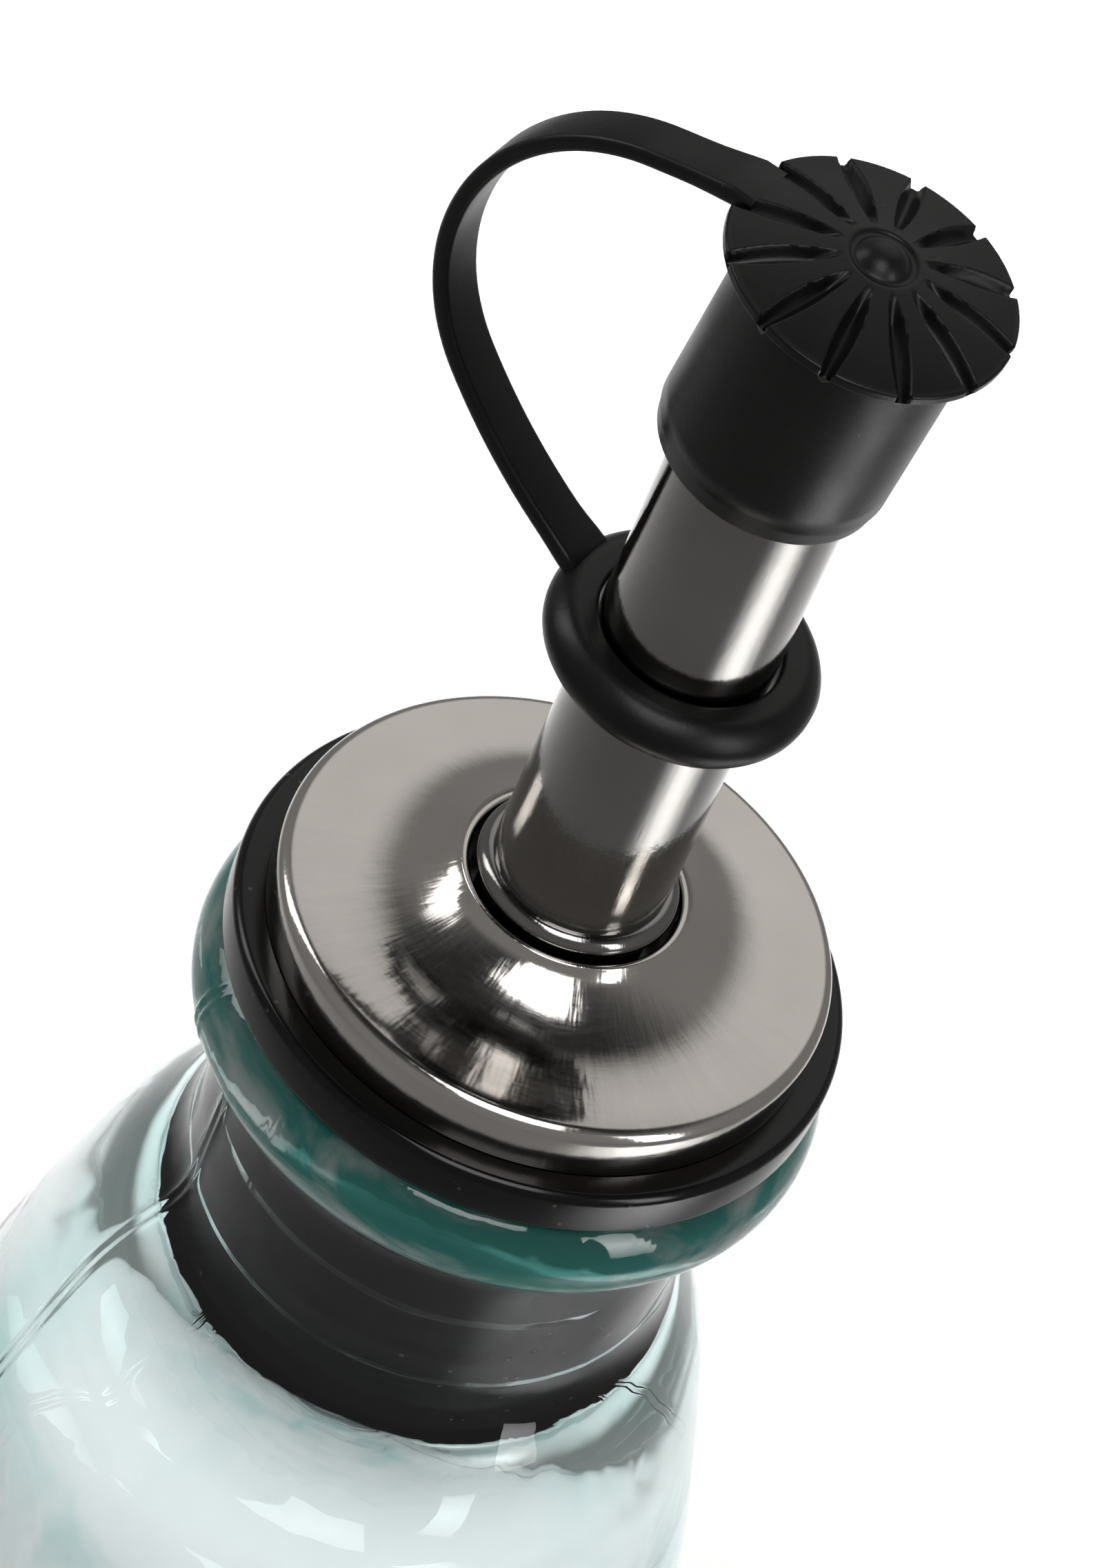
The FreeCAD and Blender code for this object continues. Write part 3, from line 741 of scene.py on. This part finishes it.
def strapPath():
    # the strap's middle line in the tether's upright plane, from the ring to the cap's head
    curve, rootCurve = strap["curve"], strap["rootCurve"]
    low, top, root = (math.radians(strap[key]) for key in ("lowTurn", "topTurn", "rootTurn"))
    centre = Vector((strap["reach"] - curve, strap["reachRise"]))
    rootCentre = centre - Vector((math.cos(low), -math.sin(low))) * (rootCurve - curve)
    path = [Vector(strap["rootInside"])]
    for i in range(strap["rootSteps"]):
        turn = -low - root + root * i / strap["rootSteps"]
        path.append(rootCentre + Vector((math.cos(turn), math.sin(turn))) * rootCurve)
    for i in range(strap["loopSteps"] + 1):
        turn = -low + (low + top) * i / strap["loopSteps"]
        path.append(centre + Vector((math.cos(turn), math.sin(turn))) * curve)
    way = Vector((-math.sin(top), math.cos(top))) * strap["headRun"]
    last = path[-1]
    path += [last + way * i / strap["headSteps"] for i in range(1, strap["headSteps"] + 1)]
    path.append(Vector(strap["headInside"]))
    return path


def makeBandTree():
    # sweeps a rounded band along a curve and widens it towards both ends
    tree, inside, outside = newTree("bandAlongPath", [
        ("Width", "NodeSocketFloat"), ("Thickness", "NodeSocketFloat"), ("Edge", "NodeSocketFloat"),
        ("End Growth", "NodeSocketFloat"), ("End Reach", "NodeSocketFloat")])
    links = tree.links
    profile = tree.nodes.new("GeometryNodeCurvePrimitiveQuadrilateral")
    fillet = tree.nodes.new("GeometryNodeFilletCurve")
    fillet.mode = "POLY"
    fillet.inputs["Count"].default_value = 4
    fillet.inputs["Limit Radius"].default_value = True
    links.new(inside.outputs["Width"], profile.inputs["Width"])
    links.new(inside.outputs["Thickness"], profile.inputs["Height"])
    links.new(inside.outputs["Edge"], fillet.inputs["Radius"])
    links.new(profile.outputs["Curve"], fillet.inputs["Curve"])
    along = tree.nodes.new("GeometryNodeSplineParameter").outputs["Length"]
    total = tree.nodes.new("GeometryNodeSplineLength").outputs["Length"]
    scale = 1.0
    for distance in (along, calc(tree, "SUBTRACT", total, along)):
        flare = tree.nodes.new("ShaderNodeMapRange")
        flare.interpolation_type = "SMOOTHSTEP"
        flare.inputs["To Max"].default_value = 0.0
        links.new(distance, flare.inputs["Value"])
        links.new(inside.outputs["End Reach"], flare.inputs["From Max"])
        links.new(inside.outputs["End Growth"], flare.inputs["To Min"])
        scale = calc(tree, "ADD", flare.outputs["Result"], scale)
    sweep = tree.nodes.new("GeometryNodeCurveToMesh")
    sweep.inputs["Fill Caps"].default_value = True
    links.new(inside.outputs["Geometry"], sweep.inputs["Curve"])
    links.new(fillet.outputs["Curve"], sweep.inputs["Profile Curve"])
    links.new(scale, sweep.inputs["Scale"])
    endTree(tree, sweep.outputs["Mesh"], inside, outside)
    return tree


def makeStrap():
    path = strapPath()
    line = bpy.data.curves.new("strapLine", "CURVE")
    line.dimensions = "3D"
    spline = line.splines.new("POLY")
    spline.points.add(len(path) - 1)
    for point, place in zip(spline.points, path):
        point.co = (place.x * mm, 0, (place.y + coverTop) * mm, 1)
    mesh = grownMesh("tetherStrap", line, makeBandTree(), {
        "Width": strap["wide"] * mm, "Thickness": strap["thick"] * mm, "Edge": strap["edge"] * mm,
        "End Growth": strap["endGrowth"], "End Reach": strap["endReach"] * mm, "Material": satinRubber})
    form = bmesh.new()
    form.from_mesh(mesh)
    bmesh.ops.remove_doubles(form, verts=form.verts, dist=1e-6)
    bmesh.ops.recalc_face_normals(form, faces=form.faces)
    form.to_mesh(mesh)
    form.free()
    mesh.transform(tetherTurn)
    piece = addPiece("tetherStrap", mesh, satinRubber, None, ["tether_strap"])
    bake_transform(piece)
    return piece


cap = {
    "rise": 43.7, "tilt": 4.5, "gripMiddle": 47.1, "bore": 6.8, "depth": 14.4, "footRadius": 7.1,
    "radius": 7.7, "skirtTop": 15.7, "head": 9.5, "headSpan": (16.0, 16.75), "headEdge": 0.2,
    "crownCurve": 40.0, "crownTop": (2.3, 18.3), "dip": (1.85, 18.18), "nub": 1.7, "nubCurve": 1.98,
    "nubTop": 19.07, "turns": 480, "skirtSpacing": 1.5, "headSpacing": 0.25}
groove = {"count": 12, "start": 2.9, "depth": 0.82, "wide": 0.70, "notch": 0.5, "aboveRim": 16.05,
          "lens": (0.84, 0.02), "narrow": 0.3, "rimBand": 0.2, "fadeIn": 5.0}


def makeGrooveTree():
    # presses lens-shaped grooves into a turned head, even round the Z axis, through to its rim
    tree, inside, outside = newTree("groovesRoundHead", [
        ("Count", "NodeSocketFloat"), ("Start", "NodeSocketFloat"), ("End", "NodeSocketFloat"),
        ("Width", "NodeSocketFloat"), ("Depth", "NodeSocketFloat"), ("Notch", "NodeSocketFloat"),
        ("Floor", "NodeSocketFloat"), ("Rim Band", "NodeSocketFloat")])
    links = tree.links
    sizes = inside.outputs
    position = tree.nodes.new("GeometryNodeInputPosition")
    split = tree.nodes.new("ShaderNodeSeparateXYZ")
    links.new(position.outputs[0], split.inputs[0])
    x, y, z = split.outputs
    radius = calc(tree, "SQRT", calc(tree, "ADD", calc(tree, "MULTIPLY", x, x), calc(tree, "MULTIPLY", y, y)))
    halfStep = calc(tree, "DIVIDE", math.pi, sizes["Count"])
    swing = calc(tree, "PINGPONG", calc(tree, "ARCTAN2", y, x), halfStep)
    away = calc(tree, "MULTIPLY", calc(tree, "SUBTRACT", halfStep, swing), radius)
    along = calc(tree, "DIVIDE", calc(tree, "SUBTRACT", radius, sizes["Start"]),
                 calc(tree, "SUBTRACT", sizes["End"], sizes["Start"]))
    phase = calc(tree, "MULTIPLY_ADD", along, *groove["lens"], clamp=True)
    lens = calc(tree, "SINE", calc(tree, "MULTIPLY", phase, math.pi))
    widen = calc(tree, "MULTIPLY_ADD", lens, 1 - groove["narrow"], groove["narrow"])
    half = calc(tree, "MULTIPLY", widen, sizes["Width"])
    across = calc(tree, "DIVIDE", away, half)
    bowl = calc(tree, "SUBTRACT", 1.0, calc(tree, "MULTIPLY", across, across), clamp=True)
    mask = calc(tree, "MULTIPLY", bowl, calc(tree, "MULTIPLY", along, groove["fadeIn"], clamp=True))
    edge = calc(tree, "GREATER_THAN", radius, calc(tree, "SUBTRACT", sizes["End"], sizes["Rim Band"]))
    notch = calc(tree, "MULTIPLY", calc(tree, "MULTIPLY", mask, edge), sizes["Notch"])
    back = calc(tree, "MULTIPLY", calc(tree, "DIVIDE", notch, radius), -1.0)
    move = tree.nodes.new("ShaderNodeCombineXYZ")
    links.new(calc(tree, "MULTIPLY", x, back), move.inputs["X"])
    links.new(calc(tree, "MULTIPLY", y, back), move.inputs["Y"])
    links.new(calc(tree, "MULTIPLY", mask, calc(tree, "MULTIPLY", sizes["Depth"], -1.0)), move.inputs["Z"])
    press = tree.nodes.new("GeometryNodeSetPosition")
    links.new(sizes["Geometry"], press.inputs["Geometry"])
    links.new(calc(tree, "GREATER_THAN", z, sizes["Floor"]), press.inputs["Selection"])
    links.new(move.outputs[0], press.inputs["Offset"])
    endTree(tree, press.outputs["Geometry"], inside, outside)
    return tree


def makeCap():
    bore, depth, foot, radius, head = (cap[key] for key in ("bore", "depth", "footRadius", "radius", "head"))
    (under, over), edge, skirtTop = cap["headSpan"], cap["headEdge"], cap["skirtTop"]
    skirt = [(bore, 0.15, 0.2, "right"), (7.0, 0.0), (foot, 0.0, 0.4, "right"), (7.45, 0.3),
             (7.52, 1.2, 0.3, "left"), (7.68, 1.4), (radius, skirtTop, 0.3, "left"), (8.0, under),
             (head - edge, under, edge, "right"), (head, under + edge)]
    crown = [(head, over - 0.25, edge, "right"), (head - edge, over, cap["crownCurve"], "right"),
             (*cap["crownTop"], 0.5, "left"), (*cap["dip"], 1.0, "left"),
             (cap["nub"], cap["crownTop"][1], cap["nubCurve"], "right"), (0.0, cap["nubTop"]),
             (0.0, depth), (bore, depth)]
    outline = (traceOutline(skirt, cap["skirtSpacing"], closed=False)
               + traceOutline(crown, cap["headSpacing"], closed=False))
    outline = [Vector((p.x, p.y + cap["rise"])) for p in outline]
    turned = latheMesh("dustCapTurned", outline, evenTurns(cap["turns"]))
    mesh = grownMesh("dustCap", turned, makeGrooveTree(), {
        "Count": float(groove["count"]), "Start": groove["start"] * mm, "End": head * mm,
        "Width": groove["wide"] * mm, "Depth": groove["depth"] * mm, "Notch": groove["notch"] * mm,
        "Floor": (coverTop + cap["rise"] + groove["aboveRim"]) * mm, "Rim Band": groove["rimBand"] * mm,
        "Material": satinRubber})
    mesh.set_sharp_from_angle(angle=math.radians(60))
    mesh.transform(tiltAt(cap["gripMiddle"], cap["tilt"]))
    return addPiece("dustCap", mesh, satinRubber, "cap", ["dust_cap"])


def dressNode(name, material):
    # a CAD node whose shape is right keeps it and gets its own material
    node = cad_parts[name]
    node.data.materials.clear()
    node.data.materials.append(material)


makeBottle()
makeStopper()
makeCover()
makeSpout()
makeRing()
makeStrap()
makeCap()
dressNode("air_tube", spoutSteel)
dressNode("flow_plate", platePlastic)
print("pieces made")
